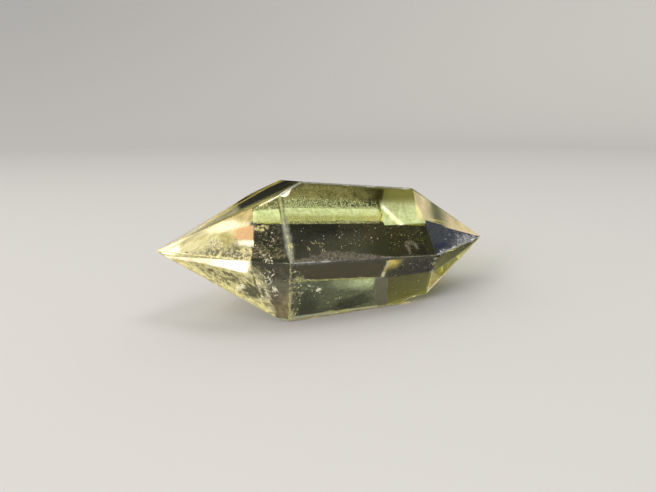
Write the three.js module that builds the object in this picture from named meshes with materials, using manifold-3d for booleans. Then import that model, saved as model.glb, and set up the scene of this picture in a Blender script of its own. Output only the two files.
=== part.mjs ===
// Double terminated quartz point: one crystal, cut and polished to six long sides that
// close in a six-sided point at each end. Everything is in millimetres, with +Z up.
//
// The long axis runs along +X, and the crystal lies on its base side. Each facet is a
// flat cut, and the crystal is what all the cuts leave between them. A cut has
//   turn   how far round the long axis it faces, in degrees: 0 is the front (-Y), 90 is up
//   lean   how far it tips towards the +X end, in degrees (a minus sign tips it to -X)
//   reach  its distance from the middle of the long axis
// The cuts of a point all pass through its tip, so they need no reach.
import * as THREE from "three";
import { ConvexGeometry } from "three/addons/geometries/ConvexGeometry.js";
import { mergeVertices } from "three/addons/utils/BufferGeometryUtils.js";
import Module from "manifold-3d";

// Driving dimensions
const overallLength = 52;
const longTip = { x: -overallLength / 2, y: -0.4, z: 1.5 };
const shortTip = { x: overallLength / 2, y: -0.7, z: -1 };

const sides = [
  { name: "base", turn: -90, lean: 0, reach: 8.6 },
  { name: "lowerFront", turn: -26, lean: 1, reach: 9.6 },
  { name: "upperFront", turn: 32.5, lean: 4.5, reach: 9.4 },
  { name: "top", turn: 95, lean: 6, reach: 9.1 },
  { name: "upperBack", turn: 149, lean: 4, reach: 9.3 },
  { name: "lowerBack", turn: -153, lean: 0.5, reach: 11.8 },
];

// Two shallow cuts lead from the front sides into the long point.
const shoulders = [
  { name: "upperShoulder", turn: 32.5, lean: -13.5, reach: 12.4 },
  { name: "lowerShoulder", turn: -27.5, lean: -18, reach: 12.4 },
];

const longPoint = [
  { name: "longBase", turn: -88, lean: -33 },
  { name: "longLowerFront", turn: -34.5, lean: -36 },
  { name: "longUpperFront", turn: 39.5, lean: -34 },
  { name: "longTop", turn: 95.3, lean: -24 },
  { name: "longUpperBack", turn: 149.5, lean: -33.5 },
  { name: "longLowerBack", turn: -162.5, lean: -38.5 },
];

const shortPoint = [
  { name: "shortBase", turn: -72.5, lean: 29 },
  { name: "shortLowerFront", turn: -23, lean: 30 },
  { name: "shortUpperFront", turn: 35, lean: 29 },
  { name: "shortTop", turn: 94, lean: 30 },
  { name: "shortUpperBack", turn: 151.5, lean: 30.5 },
  { name: "shortLowerBack", turn: -151, lean: 36 },
];

// A shell-shaped chip has broken off where these three facets meet.
const chip = {
  corner: ["lowerFront", "base", "shortBase"],
  radius: 5,
  depth: 0.9,
  segments: 40,
};

const slack = 1e-6; // a corner this close to a facet counts as on it
const weld = 1e-4; // corners closer than this are one corner

function facetNormal({ turn, lean }) {
  const turnAngle = THREE.MathUtils.degToRad(turn);
  const leanAngle = THREE.MathUtils.degToRad(lean);
  return new THREE.Vector3(
    Math.sin(leanAngle),
    -Math.cos(leanAngle) * Math.cos(turnAngle),
    Math.cos(leanAngle) * Math.sin(turnAngle),
  );
}

// A facet as { name, normal, reach }: the points p with normal . p = reach.
function sideCut(facet) {
  return { name: facet.name, normal: facetNormal(facet), reach: facet.reach };
}

function pointCut(facet, tip) {
  const normal = facetNormal(facet);
  const reach = normal.dot(new THREE.Vector3(tip.x, tip.y, tip.z));
  return { name: facet.name, normal, reach };
}

// The point where three facets meet, or null where two of them run alongside each other.
function meetingPoint(a, b, c) {
  const bc = new THREE.Vector3().crossVectors(b.normal, c.normal);
  const ca = new THREE.Vector3().crossVectors(c.normal, a.normal);
  const ab = new THREE.Vector3().crossVectors(a.normal, b.normal);
  const spread = a.normal.dot(bc);
  if (Math.abs(spread) < slack) return null;
  return bc
    .multiplyScalar(a.reach)
    .addScaledVector(ca, b.reach)
    .addScaledVector(ab, c.reach)
    .divideScalar(spread);
}

// Every corner of the crystal: the meeting points that no other facet cuts away.
function corners(cuts) {
  const kept = [];
  for (let i = 0; i < cuts.length; i++) {
    for (let j = i + 1; j < cuts.length; j++) {
      for (let k = j + 1; k < cuts.length; k++) {
        const point = meetingPoint(cuts[i], cuts[j], cuts[k]);
        if (!point) continue;
        const inside = cuts.every((cut) => cut.normal.dot(point) < cut.reach + slack);
        const known = kept.some((other) => other.distanceTo(point) < weld);
        if (inside && !known) kept.push(point);
      }
    }
  }
  return kept;
}

const wasm = await Module();
wasm.setup();

function toSolid(geometry) {
  const bare = geometry.clone();
  bare.deleteAttribute("normal");
  bare.deleteAttribute("uv");
  const merged = mergeVertices(bare, weld);
  return new wasm.Manifold(
    new wasm.Mesh({
      numProp: 3,
      vertProperties: new Float32Array(merged.attributes.position.array),
      triVerts: new Uint32Array(merged.index.array),
    }),
  );
}

function toGeometry(solid) {
  const mesh = solid.getMesh();
  const geometry = new THREE.BufferGeometry();
  geometry.setAttribute("position", new THREE.BufferAttribute(mesh.vertProperties, 3));
  geometry.setIndex(new THREE.BufferAttribute(mesh.triVerts, 1));
  return geometry;
}

// The ball that scoops the chip out: it reaches chip.depth past the corner.
function chipBall(cuts) {
  const [a, b, c] = chip.corner.map((name) => cuts.find((cut) => cut.name === name));
  const outward = a.normal.clone().add(b.normal).add(c.normal).normalize();
  const centre = meetingPoint(a, b, c).addScaledVector(outward, chip.radius - chip.depth);
  const ball = new THREE.SphereGeometry(chip.radius, chip.segments, chip.segments / 2);
  ball.translate(centre.x, centre.y, centre.z);
  return ball;
}

const cuts = [
  ...sides.map(sideCut),
  ...shoulders.map(sideCut),
  ...longPoint.map((facet) => pointCut(facet, longTip)),
  ...shortPoint.map((facet) => pointCut(facet, shortTip)),
];
const whole = toSolid(new ConvexGeometry(corners(cuts)));
const geometry = toGeometry(whole.subtract(toSolid(chipBall(cuts))));

// The origin goes under the middle of the crystal's box, on the base side.
geometry.computeBoundingBox();
const middle = geometry.boundingBox.getCenter(new THREE.Vector3());
geometry.translate(-middle.x, -middle.y, -geometry.boundingBox.min.z);

const paleCitrine = new THREE.MeshStandardMaterial({
  color: 0xd9d98a,
  roughness: 0.04,
  metalness: 0,
  flatShading: true,
});

const crystal = new THREE.Mesh(geometry, paleCitrine);
crystal.name = "crystal";

const quartzPoint = new THREE.Group();
quartzPoint.add(crystal);

export default quartzPoint;
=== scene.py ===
import bpy, math, itertools
import numpy as np
from mathutils import Matrix, Vector


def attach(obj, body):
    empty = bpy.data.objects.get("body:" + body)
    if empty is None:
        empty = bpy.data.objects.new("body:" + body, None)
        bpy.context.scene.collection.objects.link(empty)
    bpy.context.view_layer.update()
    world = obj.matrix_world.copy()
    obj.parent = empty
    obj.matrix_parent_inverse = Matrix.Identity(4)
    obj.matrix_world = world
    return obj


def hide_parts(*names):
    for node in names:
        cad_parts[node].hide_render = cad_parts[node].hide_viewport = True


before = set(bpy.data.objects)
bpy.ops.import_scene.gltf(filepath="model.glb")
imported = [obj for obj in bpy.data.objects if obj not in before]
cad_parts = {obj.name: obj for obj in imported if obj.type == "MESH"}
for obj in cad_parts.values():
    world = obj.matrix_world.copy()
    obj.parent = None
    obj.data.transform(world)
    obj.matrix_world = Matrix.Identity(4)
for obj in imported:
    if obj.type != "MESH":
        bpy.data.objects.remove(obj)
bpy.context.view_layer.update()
scene = bpy.context.scene
mm = 0.001  # sizes below are written in millimetres
print("frame loaded")


def wayTo(turn, height):
    # a unit vector: turn is in degrees from +Y towards +X, height in degrees above the floor
    turn, height = math.radians(turn), math.radians(height)
    return Vector((math.sin(turn) * math.cos(height), math.cos(turn) * math.cos(height), math.sin(height)))


def unit(vectors):
    return vectors / np.linalg.norm(vectors, axis=-1, keepdims=True)


def gridQuads(index):
    # the four-sided cells of one grid of point numbers, or of a stack of grids
    corners = index[..., :-1, :-1], index[..., 1:, :-1], index[..., 1:, 1:], index[..., :-1, 1:]
    return np.stack(corners, -1).reshape(-1, 4)


def addMesh(name, points, faces, material):
    # an object at the origin, smooth shaded, from arrays of points in metres and of point numbers
    mesh = bpy.data.meshes.new(name)
    mesh.from_pydata(points.reshape(-1, 3).tolist(), [], faces.tolist())
    mesh.shade_smooth()
    mesh.materials.append(material)
    piece = bpy.data.objects.new(name, mesh)
    scene.collection.objects.link(piece)
    return piece


view = {
    "sensorWidth": 36.0, "imageWidth": 656, "focalPixels": 493,  # the focal length in pixels of that width
    "middle": (0.0, -0.54, 8.6),  # the middle of the long axis
    "distance": 75.0, "turn": -158.6, "height": 14.1,  # from there to the camera
    "aimRight": -0.99, "aimUp": -0.26, "roll": -0.36,
    "clip": (5, 20000),
}


def levelFrame(look):
    # the level way to the right of a look, and the way up that is square to both
    sideways = look.cross(Vector((0, 0, 1))).normalized()
    return sideways, sideways.cross(look)


def placeCamera(view):
    # the camera looks back along the way to it, and is then aimed and rolled a little
    away = wayTo(view["turn"], view["height"])
    aimRight, aimUp, roll = (math.radians(view[angle]) for angle in ("aimRight", "aimUp", "roll"))
    sideways, upwards = levelFrame(-away)
    look = (-away + math.tan(aimRight) * sideways + math.tan(aimUp) * upwards).normalized()
    sideways, upwards = levelFrame(look)
    right = math.cos(roll) * sideways + math.sin(roll) * upwards
    up = math.cos(roll) * upwards - math.sin(roll) * sideways
    lens = bpy.data.cameras.new("camera")
    lens.sensor_width = view["sensorWidth"]
    lens.lens = view["sensorWidth"] * view["focalPixels"] / view["imageWidth"]
    lens.clip_start, lens.clip_end = (clip * mm for clip in view["clip"])
    camera = bpy.data.objects.new("camera", lens)
    scene.collection.objects.link(camera)
    place = (Vector(view["middle"]) + away * view["distance"]) * mm
    camera.matrix_world = Matrix.Translation(place) @ Matrix((right, up, -look)).transposed().to_4x4()
    scene.camera = camera


placeCamera(view)
print("camera placed")

# which way the worn, chipped or clouded cuts face: degrees round the long axis from the front, and lean to +X
facing = {
    "base": (-90, 0), "lowerFront": (-26, 1), "upperFront": (32, 4), "top": (95, 6),
    "upperBack": (149, 4), "lowerBack": (-153, 0), "upperShoulder": (32, -13), "lowerShoulder": (-27, -18),
    "longBase": (-88, -33), "longLowerFront": (-34, -36), "longUpperFront": (39, -34),
    "longTop": (95, -24), "longUpperBack": (149, -33),
    "shortBase": (-72, 29), "shortLowerFront": (-23, 30), "shortUpperFront": (35, 29),
}
cutLimits = {
    "sliver": 1e-3, "smallest": 8,  # a triangle and a cut are larger than this in mm2
    "sameWay": 0.9998, "sameReach": 0.05,  # within a cut: cosine between normals, and mm between reaches
    "skew": 1e-3,  # three normals whose determinant is smaller don't meet in a point
    "past": 3e-3, "apart": 0.02, "on": 0.01,  # mm from a corner to a cut or to another corner
}


def readCuts(node):
    # triangles with one normal and one distance from the origin are one flat cut, whose area is their sum
    mesh = node.data
    mesh.calc_loop_triangles()
    points = np.empty(len(mesh.vertices) * 3)
    mesh.vertices.foreach_get("co", points)
    triangles = np.empty(len(mesh.loop_triangles) * 3, int)
    mesh.loop_triangles.foreach_get("vertices", triangles)
    a, b, c = points.reshape(-1, 3)[triangles.reshape(-1, 3)].transpose(1, 0, 2)
    cross = np.cross(b - a, c - a)
    area = np.linalg.norm(cross, axis=1) / 2
    keep = area > cutLimits["sliver"] * mm * mm
    a, normal, area = a[keep], unit(cross[keep]), area[keep]
    reach = (normal * a).sum(1)
    sameReach = np.abs(reach[:, None] - reach) < cutLimits["sameReach"] * mm
    group = ((normal @ normal.T > cutLimits["sameWay"]) & sameReach).argmax(1)
    large = np.flatnonzero(np.bincount(group, area, len(area)) > cutLimits["smallest"] * mm * mm)
    weight = (group == large[:, None]) * area
    return unit(weight @ normal), (weight @ reach) / weight.sum(1)


def nameCuts(normals, faces):
    # each name takes the cut whose normal is nearest to the way it faces
    turn, lean = np.radians(np.array(list(faces.values()), float)).T
    wanted = np.column_stack([np.sin(lean), -np.cos(lean) * np.cos(turn), np.cos(lean) * np.sin(turn)])
    return dict(zip(faces, (wanted @ normals.T).argmax(1)))


def meetCuts(normals, reaches):
    # every three cuts meet in a point; the crystal's corners are those that no other cut removes
    triples = np.array(list(itertools.combinations(range(len(reaches)), 3)))
    triples = triples[np.abs(np.linalg.det(normals[triples])) > cutLimits["skew"]]
    points = np.linalg.solve(normals[triples], reaches[triples][:, :, None])[:, :, 0]
    points = points[(points @ normals.T - reaches).max(1) < cutLimits["past"] * mm]
    near = np.linalg.norm(points[:, None] - points, axis=2) < cutLimits["apart"] * mm
    return points[np.unique(near.argmax(1))]


def readStone(node):
    normals, reaches = readCuts(node)
    corners = meetCuts(normals, reaches)
    return {"normals": normals, "reaches": reaches, "corners": corners, "names": nameCuts(normals, facing)}


stone = readStone(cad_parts["crystal"])


def cornersOn(cut):
    return np.abs(stone["corners"] @ stone["normals"][cut] - stone["reaches"][cut]) < cutLimits["on"] * mm


def edgeEnds(names):
    # the ends of the edge between two cuts, the one at the smaller x first
    first, second = (cornersOn(stone["names"][name]) for name in names)
    shared = stone["corners"][first & second]
    order = np.argsort(shared[:, 0])
    return shared[order[0]], shared[order[-1]]


def normalsOf(names):
    return stone["normals"][[stone["names"][name] for name in names]]


def facetPatches():
    # a facet with n corners is n four-sided patches: corner, next mid-edge, centre, last mid-edge
    patches = []
    for cut, normal in enumerate(stone["normals"]):
        ring = stone["corners"][cornersOn(cut)]
        centre = ring.mean(0)
        spokes = ring - centre
        around = np.arctan2(spokes @ np.cross(normal, spokes[0]), spokes @ spokes[0])
        ring = ring[np.argsort(around)]
        following, previous = (ring + np.roll(ring, -1, 0)) / 2, (ring + np.roll(ring, 1, 0)) / 2
        patches.append(np.stack([ring, following, np.broadcast_to(centre, ring.shape), previous], 1))
    return np.concatenate(patches)


def gridPatches(patches, steps, grading, weld=1e-5):
    # bilinear grids whose rows crowd towards the edges by a power law, welded where they share points
    t = (np.arange(steps + 1) / steps) ** grading
    s, t = np.meshgrid(t, t, indexing="ij")
    weights = np.stack([(1 - s) * (1 - t), s * (1 - t), s * t, (1 - s) * t], -1)
    grid = np.einsum("ijk,pkx->pijx", weights, patches)
    cell = np.round(grid.reshape(-1, 3) / (weld * mm)).astype(np.int64)
    _, first, index = np.unique(cell, axis=0, return_index=True, return_inverse=True)
    return grid.reshape(-1, 3)[first], gridQuads(index.reshape(grid.shape[:3]))


def ripple(along, seed, waves=5):
    # a smooth random curve about 0.5: 0.5 + 0.8 * sum(swing * sin(pitch * along + phase)) / sum(swing)
    random = np.random.default_rng(seed)
    pitch = np.arange(1, waves + 1) * random.uniform(0.7, 1.3, waves)
    swing = 1 / np.sqrt(np.arange(1, waves + 1))
    phase = random.uniform(0, 2 * math.pi, waves)
    curve = (swing * np.sin(np.multiply.outer(along, 2 * math.pi * pitch) + phase)).sum(-1)
    return 0.5 + 0.8 * curve / swing.sum()


def wearSoftness(points, shape):
    # each worn edge adds wear * ripple(place along it) * exp(-(distance to it / reach)^2)
    softness = np.full(len(points), shape["edgeSoftness"] * mm)
    for seed, (names, wear) in enumerate(shape["wornEdges"].items()):
        start, end = edgeEnds(names)
        length = np.linalg.norm(end - start)
        along = (points - start) @ (end - start) / length ** 2
        nearest = start + np.clip(along, 0, 1)[:, None] * (end - start)
        away = np.linalg.norm(points - nearest, axis=1) / (shape["wearReach"] * mm)
        patchy = ripple(along * length / (shape["wearPitch"] * mm), seed).clip(shape["leastWear"], 1)
        softness += wear * mm * patchy * np.exp(-away ** 2)
    return softness


def roundEdges(points, softness, rounds=4):
    # slide each point down to the smooth maximum of the cuts' distances:
    # softness * log(sum(exp(distance / softness)))
    for _ in range(rounds):
        distance = (points @ stone["normals"].T - stone["reaches"]) / softness[:, None]
        top = distance.max(1, keepdims=True)
        share = np.exp(distance - top)
        total = share.sum(1, keepdims=True)
        height = (top + np.log(total))[:, 0] * softness
        slope = share @ stone["normals"] / total
        points = points - (height / (slope * slope).sum(1))[:, None] * slope
    return points


def chipBalls(shape):
    # the large chip sits at a corner of three cuts; the small ones sit along the edges, drawn at random
    chip = shape["largeChip"]
    picked = [stone["names"][name] for name in chip["cuts"]]
    corner = np.linalg.solve(stone["normals"][picked], stone["reaches"][picked])
    outward = unit(normalsOf(chip["cuts"]).sum(0))
    centres, radii = [corner + outward * (chip["radius"] - chip["depth"]) * mm], [chip["radius"] * mm]
    random = np.random.default_rng(shape["chipSeed"])
    for names, count in shape["chippedEdges"].items():
        start, end = edgeEnds(names)
        outward = unit(normalsOf(names).sum(0))
        shares = random.uniform(*shape["chipSpan"], count)
        for share, size in zip(shares, random.uniform(*shape["chipRadius"], count)):
            depth = random.uniform(*shape["chipDepth"]) * size
            centres.append(start + share * (end - start) + outward * (size - depth) * mm)
            radii.append(size * mm)
    return centres, radii


def scoopChips(points, shape):
    # a point inside a chip's ball moves straight out from the ball's centre to its skin, which is
    # radius * (1 + height * sin(way . pitch)), with faint shell rings
    for centre, radius in zip(*chipBalls(shape)):
        offset = points - centre
        length = np.linalg.norm(offset, axis=1)
        inside = length < radius
        way = offset[inside] / length[inside, None]
        rings = 1 + shape["ringHeight"] * np.sin(way @ np.array(shape["ringPitch"], float))
        points[inside] = centre + way * (radius * rings)[:, None]
    return points


crystalShape = {
    "steps": 27, "grading": 1.4, "edgeSoftness": 0.03,
    "wornEdges": {  # pairs of cuts that meet in an edge, and how much softer than the rest it is
        ("upperFront", "lowerFront"): 0.13, ("upperFront", "upperShoulder"): 0.12,
        ("lowerFront", "lowerShoulder"): 0.1, ("longUpperFront", "longLowerFront"): 0.04,
        ("upperShoulder", "longTop"): 0.06, ("upperFront", "top"): 0.05,
        ("shortUpperFront", "shortLowerFront"): 0.05, ("lowerFront", "base"): 0.05,
    },
    "wearReach": 1.2, "wearPitch": 8, "leastWear": 0.1,
    "largeChip": {"cuts": ("lowerFront", "base", "shortBase"), "radius": 5, "depth": 0.9},
    "chippedEdges": {  # how many small chips
        ("upperFront", "top"): 6, ("lowerFront", "base"): 7, ("upperFront", "lowerFront"): 5,
        ("shortUpperFront", "shortLowerFront"): 4, ("lowerFront", "shortLowerFront"): 3,
        ("lowerFront", "shortBase"): 1, ("lowerFront", "lowerShoulder"): 4,
        ("longLowerFront", "longBase"): 4, ("upperBack", "top"): 4, ("upperBack", "lowerBack"): 4,
        ("lowerBack", "base"): 4,
    },
    "chipSpan": (0.04, 0.96), "chipRadius": (0.8, 1.6), "chipDepth": (0.05, 0.16), "chipSeed": 4,
    "ringHeight": 0.004, "ringPitch": (27, 12, 42),
}


def buildCrystal(shape, material):
    # the facets as grids, slid onto the rounded cuts, with the chips scooped out and z at least 0
    points, quads = gridPatches(facetPatches(), shape["steps"], shape["grading"])
    points = scoopChips(roundEdges(points, wearSoftness(points, shape)), shape)
    points[:, 2] = np.maximum(points[:, 2], 0)
    print("crystal", len(stone["reaches"]), "cuts", len(stone["corners"]), "corners", len(points), "points")
    return addMesh("polishedCrystal", points, quads, material)


def setInputs(node, values):
    # a socket, by name or number, takes a plain value or another node's output; a plain colour gets alpha 1
    for name, value in values.items():
        socket = node.inputs[name]
        if isinstance(value, bpy.types.NodeSocket):
            node.id_data.links.new(value, socket)
        else:
            socket.default_value = (*value, 1) if socket.type == "RGBA" else value


def addNode(tree, kind, values):
    node = tree.nodes.new(kind)
    setInputs(node, values)
    return node


def addMaterial(name, surface):
    # these values go straight on the sockets of its Principled BSDF
    material = bpy.data.materials.new(name)
    material.use_nodes = True
    setInputs(material.node_tree.nodes["Principled BSDF"], surface)
    return material


citrine = {
    "surface": {"Base Color": (1, 1, 1), "Roughness": 0, "Metallic": 0, "IOR": 1.544,
                "Transmission Weight": 1},
    "absorption": {"Color": (0.9, 0.9, 0.15), "Density": 31},
    "shadow": (0.9, 0.89, 0.72),
}


def citrineMaterial(finish):
    # rays on their way to a lamp pass straight on, so that what is inside and beneath is lit without noise
    material = addMaterial("citrine", finish["surface"])
    tree = material.node_tree
    glass = tree.nodes["Principled BSDF"].outputs["BSDF"]
    tint = addNode(tree, "ShaderNodeVolumeAbsorption", finish["absorption"])
    clear = addNode(tree, "ShaderNodeBsdfTransparent", {"Color": finish["shadow"]})
    toLamp = tree.nodes.new("ShaderNodeLightPath").outputs["Is Shadow Ray"]
    mix = addNode(tree, "ShaderNodeMixShader", {"Fac": toLamp, 1: glass, 2: clear.outputs["BSDF"]})
    result = {"Surface": mix.outputs["Shader"], "Volume": tint.outputs["Volume"]}
    setInputs(tree.nodes["Material Output"], result)
    return material


crystal = buildCrystal(crystalShape, citrineMaterial(citrine))
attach(crystal, "root")
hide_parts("crystal")


def makeVeilGrain():
    # Grit 0 is a smooth fog, Cover * (0.6 + 0.4 * noise);
    # Grit 1 cuts the noise off where it falls below 1 - Cover; drift is a noise five times as coarse
    group = bpy.data.node_groups.new("veilGrain", "ShaderNodeTree")
    inputs = {"Cover": 0.5, "Pitch": 2000.0, "Turn": (0, 0, 0), "Stretch": (1, 1, 1),
              "Cloud": 0.5, "Contrast": 3.0, "Grit": 1.0}
    for name, value in inputs.items():
        kind = "NodeSocketVector" if isinstance(value, tuple) else "NodeSocketFloat"
        group.interface.new_socket(name, in_out="INPUT", socket_type=kind).default_value = value
    for name in ("Alpha", "Shade", "Drift"):
        group.interface.new_socket(name, in_out="OUTPUT", socket_type="NodeSocketFloat")
    start = group.nodes.new("NodeGroupInput").outputs
    place = group.nodes.new("ShaderNodeTexCoord").outputs["Object"]
    mapping = group.nodes.new("ShaderNodeMapping")
    mapping.vector_type = "TEXTURE"
    setInputs(mapping, {"Vector": place, "Rotation": start["Turn"], "Scale": start["Stretch"]})

    def calculate(operation, *values):
        node = group.nodes.new("ShaderNodeMath")
        node.operation = operation
        setInputs(node, dict(enumerate(values)))
        return node.outputs["Value"]

    def noise(pitch, detail):
        inputs = {"Vector": mapping.outputs["Vector"], "Scale": pitch, "Detail": detail}
        speckle = addNode(group, "ShaderNodeTexNoise", inputs).outputs["Fac"]
        inputs = {"Value": speckle, "From Min": 0.3, "From Max": 0.7}
        return addNode(group, "ShaderNodeMapRange", inputs).outputs["Result"]

    def clamp(value):
        return addNode(group, "ShaderNodeClamp", {"Value": value}).outputs["Result"]

    def blend(factor, first, second):
        inputs = {"Factor": factor, "A": first, "B": second}
        return addNode(group, "ShaderNodeMix", inputs).outputs["Result"]

    fine = noise(start["Pitch"], 2)
    drift = noise(calculate("MULTIPLY", start["Pitch"], 0.2), 3)
    mixed = blend(start["Cloud"], fine, drift)
    above = calculate("ADD", calculate("SUBTRACT", mixed, 1), start["Cover"])
    lifted = clamp(calculate("ADD", calculate("MULTIPLY", above, start["Contrast"]), 0.5))
    gritty = calculate("MULTIPLY", lifted, clamp(calculate("MULTIPLY", start["Cover"], 4)))
    foggy = clamp(calculate("MULTIPLY", start["Cover"], calculate("MULTIPLY_ADD", mixed, 0.4, 0.6)))
    outputs = {"Alpha": blend(start["Grit"], foggy, gritty), "Shade": fine, "Drift": drift}
    addNode(group, "NodeGroupOutput", outputs)
    return group


veilGrain = makeVeilGrain()


def readAttribute(tree, name):
    node = tree.nodes.new("ShaderNodeAttribute")
    node.attribute_name = name
    return node.outputs["Fac"]


def blendTones(tree, factor, first, second):
    # factor 0 gives the first colour and 1 the second
    node = tree.nodes.new("ShaderNodeMix")
    node.data_type = "RGBA"
    setInputs(node, {"Factor": factor, 6: first, 7: second})  # its colour sockets have numbers, not names
    return node.outputs[2]


plainFinish = dict(contrast=1, grit=0, cloud=0.5, stretch=1, slant=0, glow=0)  # unless told otherwise


def veilMaterial(name, finish):
    # a crack or haze: two drifting tones, a third in its fine grain,
    # and an alpha from the grain and the mesh's cover
    finish = {**plainFinish, **finish}
    # glow makes each veil give off light in its own tone: painted light, as a veil is no lamp
    surface = {"Roughness": 0.6, "Specular IOR Level": 0.2, "Emission Strength": finish["glow"]}
    material = addMaterial(name, surface)
    tree = material.node_tree
    grain = tree.nodes.new("ShaderNodeGroup")
    grain.node_tree = veilGrain
    setInputs(grain, {
        "Cover": readAttribute(tree, "cover"), "Pitch": 1 / (finish["grain"] * mm),
        "Stretch": (finish["stretch"], 1, 1), "Turn": (0, -math.radians(finish["slant"]), 0),
        "Cloud": finish["cloud"], "Contrast": finish["contrast"], "Grit": finish["grit"],
    })
    drifting = blendTones(tree, grain.outputs["Drift"], *finish["tones"][:2])
    tone = blendTones(tree, grain.outputs["Shade"], drifting, finish["tones"][2])
    varying = {"Base Color": tone, "Emission Color": tone, "Alpha": grain.outputs["Alpha"]}
    setInputs(tree.nodes["Principled BSDF"], varying)
    return material


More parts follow.
